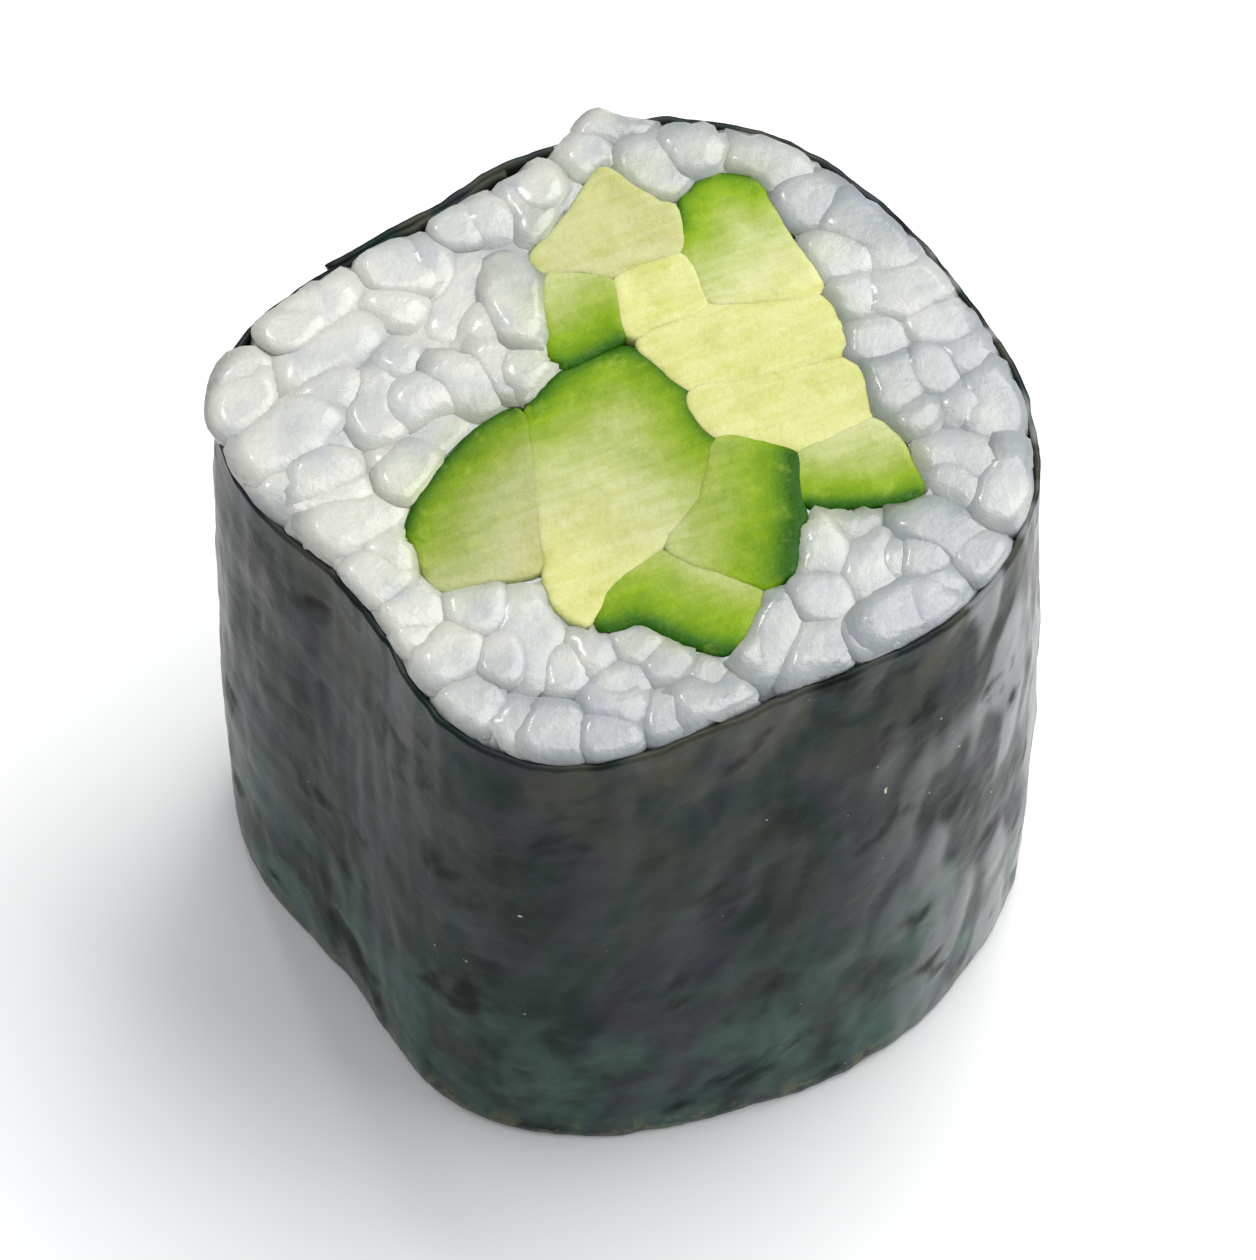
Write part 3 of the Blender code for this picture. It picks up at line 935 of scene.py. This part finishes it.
def shape_grains(grains, room_at, resolution, rng):
    """Meshes of the grains, pressed flat against the cut, the wrap, the sticks and each other."""
    directions, ball_faces = sphere_directions(*resolution)
    edges = {tuple(sorted(pair)) for face in ball_faces for pair in zip(face, face[1:] + face[:1])}
    edges = np.array(sorted(edges))
    vertices, faces, tones, hearts = [], [], [], []
    base = 0
    for grain in grains:
        near_ones = [other for other in grains if other is not grain
                     and np.linalg.norm(other.middle - grain.middle) < NEIGHBOUR]

        def value(points):
            """Below 0 inside the pressed grain; the last term is half way to its neighbours."""
            result = soft_max(grain.inside(points), grain.above_cut(points), FACE_CREASE)
            result = soft_max(result, -room_at(points[..., :2], points[..., 2]), WALL_CREASE)
            own = line_distance(grain, points)
            others = np.array([line_distance(other, points) for other in near_ones])
            others = -np.log(np.exp(-CORNER_SHARP * others).sum(0)) / CORNER_SHARP
            return soft_max(result, (own - others) * 0.5 - grain.overlap, CREASE)

        samples = grain.middle + (rng.uniform(-1, 1, (INSIDE_TRIES, 3)) * grain.half) @ grain.basis
        depths = value(samples)
        kept = samples[depths < -INSIDE_BY]
        if len(kept) < INSIDE_FEWEST:
            continue
        centre = kept.mean(0)
        if value(centre[None])[0] > -INSIDE_BY:
            centre = kept[np.linalg.norm(kept - centre, axis=1).argmin()]
        deepest = samples[np.argsort(depths)[:len(kept):max(1, len(kept) // CENTRES)]]
        points = smoothest_skin(value, [centre, *deepest], directions, edges)
        if points[:, 2].max() < HIDDEN_BELOW:
            continue
        vertices.append(points)
        faces += [tuple(index + base for index in face) for face in ball_faces]
        base += len(points)
        tones.append(np.full(len(points), grain.tone))
        hearts.append(np.clip(line_distance(grain, points) / HEART_REACH, 0, 1))
    return np.concatenate(vertices), faces, np.concatenate(tones), np.concatenate(hearts)


def room_function(wall, holes, leans):
    """Two functions that look up a grid over the rice in plan.

    The first gives the room for rice, which leans out over the rim if leans is 1 and not 0.
    The second gives the distance to the nearest stick.
    """
    low = wall.min(0) - ROOM_MARGIN
    counts = np.ceil((wall.max(0) + ROOM_MARGIN - low) / ROOM_STEP).astype(int)
    lines = [start + ROOM_STEP * np.arange(count) for start, count in zip(low, counts)]
    points = np.column_stack([axis.ravel() for axis in np.meshgrid(*lines, indexing="ij")])
    parts = np.array_split(points, ROOM_PARTS)
    outer, *gaps = (np.concatenate([polygon_room(part, edge)[0] for part in parts])
                    for edge in (wall, *holes))
    inner = np.minimum(ROOM_FAR, -np.max(gaps, axis=0))
    outer, inner = outer.reshape(counts), inner.reshape(counts)

    def look_up(table, spots):
        place = np.clip((spots - low) / ROOM_STEP, 0, counts - SHORT_OF_END)
        cell = place.astype(int)
        part = place - cell
        x, y = cell[..., 0], cell[..., 1]
        near = table[x, y] * (1 - part[..., 1]) + table[x, y + 1] * part[..., 1]
        far = table[x + 1, y] * (1 - part[..., 1]) + table[x + 1, y + 1] * part[..., 1]
        return near * (1 - part[..., 0]) + far * part[..., 0]

    def room_at(spots, height):
        lean = leans * np.clip(1 + height / OVERHANG_RISE, 0, 1) * rim_overhang(spots)
        return np.minimum(look_up(outer, spots) + lean, look_up(inner, spots))

    def stick_gap(spots):
        return np.maximum(look_up(inner, spots), 0)

    return room_at, stick_gap


def rim_overhang(spots):
    """How far rice leans out over the rim of the wrap."""
    return RICE_OVER_RIM + spill(np.arctan2(spots[..., 1], spots[..., 0]))


def make_rice(material, rings_of, rng):
    """Single grains at both cut faces, one joined mesh, over the smaller core."""
    blocks = []
    for level, share in ((-1, TOP_SHARE), (0, FOOT_SHARE)):
        wall = outline(share, RICE_UNDER_RIM)
        holes = []
        for levels, grown in rings_of.values():
            edge = grown[level][:, :2]
            holes.append(edge - outward(levels[level][:, :2]) * RICE_INTO_STICK)
        hung = SPILL_PACKED * spill(np.arctan2(wall[:, 1], wall[:, 0]))
        bulged = wall * (1 + hung / np.linalg.norm(wall, axis=1))[:, None]
        middles, axes = packed_grains(bulged if level else wall, holes, rng)
        grains = [Grain(middle, axis, rng) for middle, axis in zip(middles, axes)]
        room_at, stick_gap = room_function(wall, holes, 1 if level else 0)
        fill_gaps(grains, room_at, wall, rng)
        resolution = UPPER_GRAIN if level else LOWER_GRAIN
        points, faces, tones, hearts = shape_grains(grains, room_at, resolution, rng)
        juices = np.exp(-stick_gap(points[:, :2]) / JUICE_REACH)
        if level:
            points[:, 2] += cut_height(points[:, 0], points[:, 1])
        else:
            points[:, 2] = np.maximum(LOWER_LIFT - points[:, 2], FLOOR_GAP)
            faces = [face[::-1] for face in faces]
        blocks.append((points, faces, {"tone": tones, "heart": hearts, "juice": juices}))
    upper, lower = blocks
    points = np.concatenate([upper[0], lower[0]])
    faces = upper[1] + [tuple(index + len(upper[0]) for index in face) for face in lower[1]]
    attributes = {name: np.concatenate([upper[2][name], lower[2][name]]) for name in upper[2]}
    return make_object("rice_grains", points, faces, material, ["rice"], attributes)


def make_rice_core(material):
    """The fused rice under and between the grains: the CAD rice, planed off at both cuts.

    It slopes down towards the wrap, so that no corner of it stands out between the grains there.
    """
    bm = cad_mesh("rice")
    spots = np.array([(vert.co.x, vert.co.y) for vert in bm.verts])
    room, _ = polygon_room(spots, outline(TOP_SHARE, RICE_UNDER_RIM))
    slopes = CORE_SLOPE * np.clip(1 - room / CORE_SLOPE_WIDTH, 0.0, 1.0)
    for vert, slope in zip(bm.verts, slopes):
        top = cut_height(vert.co.x, vert.co.y)
        uneven = CORE_ROUGH * noise.noise(vert.co / CORE_LUMP)
        if vert.co.z > top - CORE_CUT_ZONE:
            vert.co.z = top - CORE_SINK - slope + uneven
        elif vert.co.z < CORE_CUT_ZONE:
            vert.co.z = CORE_SINK + slope + uneven
    vertices = [tuple(vert.co) for vert in bm.verts]
    faces = [tuple(vert.index for vert in face.verts) for face in bm.faces]
    bm.free()
    attributes = {name: np.full(len(vertices), value) for name, value in CORE_LOOK.items()}
    made = make_object("rice_core", vertices, faces, material, [], attributes)
    made.data.shade_flat()
    return made


# ---- nori

NORI_THICK = 0.22
NORI_OFFSET = 0.16
NORI_COLUMNS = 420
NORI_ROWS = 96
NORI_RADIUS = 13.5
LAP_HEADING = math.radians(128)
LAP = math.radians(34)
LAP_EASE = math.radians(14)
LAP_GAP = 0.04
LAP_WAVE = math.radians(2.2)
LAP_WAVE_SHARP = 24
# Heights of the relief: the grains that press through, lengthwise creases and fine roughness
BUMP_HIGH = 0.10
CREASE_HIGH = 0.07
FINE_HIGH = 0.025
CREASE_WIDTH = 1.3
CREASE_LENGTH = 9.0
CREASE_LEAN = 0.07
HEM_CURL = 0.10
HEM_RISE = 0.8
HEM_LOW = 0.10
HEM_ROUGH = 0.12
HEM_NOISE_HEIGHT = 30
RIM_SINK = 0.20
RIM_SPILL_SINK = 0.3
RIM_ROUGH = 0.09


def nori_points():
    """The wrap's outer points, column by column from hem to rim, and then its inner ones."""
    start = LAP_HEADING - LAP / 2
    sweep = math.tau + LAP
    turned = np.repeat(np.arange(NORI_COLUMNS) / (NORI_COLUMNS - 1) * sweep, NORI_ROWS)
    rows = np.linspace(0, 1, NORI_ROWS)
    share = np.tile(rows, NORI_COLUMNS)
    wave = np.tile([fractal(Vector((0.0, 7.0, 4.0 * row))) for row in rows], NORI_COLUMNS)
    turned = turned + LAP_WAVE * wave * (turned / sweep) ** LAP_WAVE_SHARP
    heading = start + turned
    climb = np.clip((turned - math.tau + LAP_EASE) / LAP_EASE, 0, 1)
    climb = climb * climb * (3 - 2 * climb)
    radius = reach_at(heading, share) + NORI_OFFSET + NORI_THICK + climb * (NORI_THICK + LAP_GAP)
    unit = np.column_stack([np.cos(heading), np.sin(heading)])
    ring = NORI_RADIUS * unit
    height = share * CUT[0]
    flat = np.column_stack([ring, height])
    creases = np.array([fractal(Vector((a / CREASE_WIDTH + CREASE_LEAN * z, z / CREASE_LENGTH, 4.0)))
                        for a, z in zip(heading * NORI_RADIUS, height)])
    radius += BUMP_HIGH * fbm(flat, scale=3.4, seed=1.0, octaves=2)
    radius += CREASE_HIGH * creases + FINE_HIGH * fbm(flat, scale=0.9, seed=2.0)
    radius -= HEM_CURL * np.exp(-height / HEM_RISE)
    plan = unit * radius[:, None]
    rim = cut_height(plan[:, 0], plan[:, 1]) - RIM_SINK - RIM_SPILL_SINK * spill(heading)
    rim += RIM_ROUGH * fbm(np.column_stack([ring, np.zeros(len(ring))]), scale=2.0, seed=5.0)
    hem = np.column_stack([ring, np.full(len(ring), HEM_NOISE_HEIGHT)])
    hem = HEM_LOW + HEM_ROUGH * (1 + fbm(hem, scale=2.6, seed=6.0))
    z = hem + (rim - hem) * share
    inner = np.column_stack([unit * (radius - NORI_THICK)[:, None], z])
    return np.concatenate([np.column_stack([plan, z]), inner])


def nori_faces():
    """The wrap's faces: both sides, the hem and rim, and the sheet's two ends."""
    inner = NORI_COLUMNS * NORI_ROWS
    faces = []
    for column in range(NORI_COLUMNS - 1):
        for row in range(NORI_ROWS - 1):
            a = column * NORI_ROWS + row
            b = a + NORI_ROWS
            faces.append((a, b, b + 1, a + 1))
            faces.append((a + inner, a + 1 + inner, b + 1 + inner, b + inner))
        for row, order in ((0, 1), (NORI_ROWS - 1, -1)):
            a = column * NORI_ROWS + row
            b = a + NORI_ROWS
            faces.append((a, a + inner, b + inner, b)[::order])
    for column, order in ((0, -1), (NORI_COLUMNS - 1, 1)):
        for row in range(NORI_ROWS - 1):
            a = column * NORI_ROWS + row
            faces.append((a, a + inner, a + 1 + inner, a + 1)[::order])
    return faces


def make_nori(material):
    """The wrap: a sheet once round the rice and over its own end, with grains pressing through."""
    return make_object("nori_wrap", nori_points(), nori_faces(), material, ["nori"])


# ---- stage

FLOOR_HALF = 1.2
LIGHT_TARGET = Vector((0, 0, 0.012))
# Each soft light's name, place, width, power and colour
LIGHTS = (
    ("key", (0.10, 0.12, 0.30), 0.22, 0.9, (1.0, 0.99, 0.97)),
    ("side", (0.30, -0.06, 0.13), 0.22, 0.5, (0.95, 0.98, 1.0)),
    ("glint", (-0.10, 0.22, 0.40), 0.03, 0.14, (1.0, 1.0, 1.0)),
)
WORLD_COLOUR = (0.95, 0.97, 1.0, 1.0)
WORLD_STRENGTH = 0.70
CAMERA_ELEVATION = math.radians(56)
CAMERA_DISTANCE = 0.6
CAMERA_TARGET = Vector((0.0, 0.0, 0.0131))
CLIP_START = 0.05
FRAME_WIDTH = 0.045
SENSOR_WIDTH = 36.0


def area_light(name, place, size, watts, colour):
    data = bpy.data.lights.new(name, "AREA")
    data.shape = "SQUARE"
    data.size = size
    data.energy = watts
    data.color = colour
    made = add_object(name, data)
    made.location = place
    made.rotation_euler = (LIGHT_TARGET - Vector(place)).to_track_quat("-Z", "Y").to_euler()


def make_floor():
    nodes = Nodes("floor")
    nodes.surface(Base_Color=(0.86, 0.86, 0.86, 1.0), Roughness=0.6)
    mesh = bpy.data.meshes.new("floor")
    corners = [(FLOOR_HALF * x, FLOOR_HALF * y, 0) for x, y in ((-1, -1), (1, -1), (1, 1), (-1, 1))]
    mesh.from_pydata(corners, [], [(0, 1, 2, 3)])
    mesh.materials.append(nodes.material)
    add_object("floor", mesh)


def make_stage():
    """A plain pale floor, soft light all round and a large soft light overhead."""
    make_floor()
    world = bpy.data.worlds.new("soft white")
    world.use_nodes = True
    background = world.node_tree.nodes["Background"]
    background.inputs["Color"].default_value = WORLD_COLOUR
    background.inputs["Strength"].default_value = WORLD_STRENGTH
    bpy.context.scene.world = world
    for light in LIGHTS:
        area_light(*light)
    bpy.context.scene.view_settings.view_transform = "Standard"


def make_camera():
    """A long lens in front of the piece, looking down at it."""
    data = bpy.data.cameras.new("camera")
    data.sensor_width = SENSOR_WIDTH
    data.lens = SENSOR_WIDTH * CAMERA_DISTANCE / FRAME_WIDTH
    data.clip_start = CLIP_START
    camera = add_object("camera", data)
    offset = Vector((0, -math.cos(CAMERA_ELEVATION), math.sin(CAMERA_ELEVATION)))
    camera.location = CAMERA_TARGET + offset * CAMERA_DISTANCE
    camera.rotation_euler = (-offset).to_track_quat("-Z", "Y").to_euler()
    bpy.context.scene.camera = camera


make_camera()
make_stage()
stick_rng = np.random.default_rng(STICK_SEED)
cucumber = cucumber_material()
rice = rice_material()
rings_of = stick_rings()
for stick in STICKS:
    make_stick(stick, rings_of, cucumber, stick_rng)
make_rice(rice, rings_of, np.random.default_rng(RICE_SEED))
make_rice_core(rice)
make_nori(nori_material())
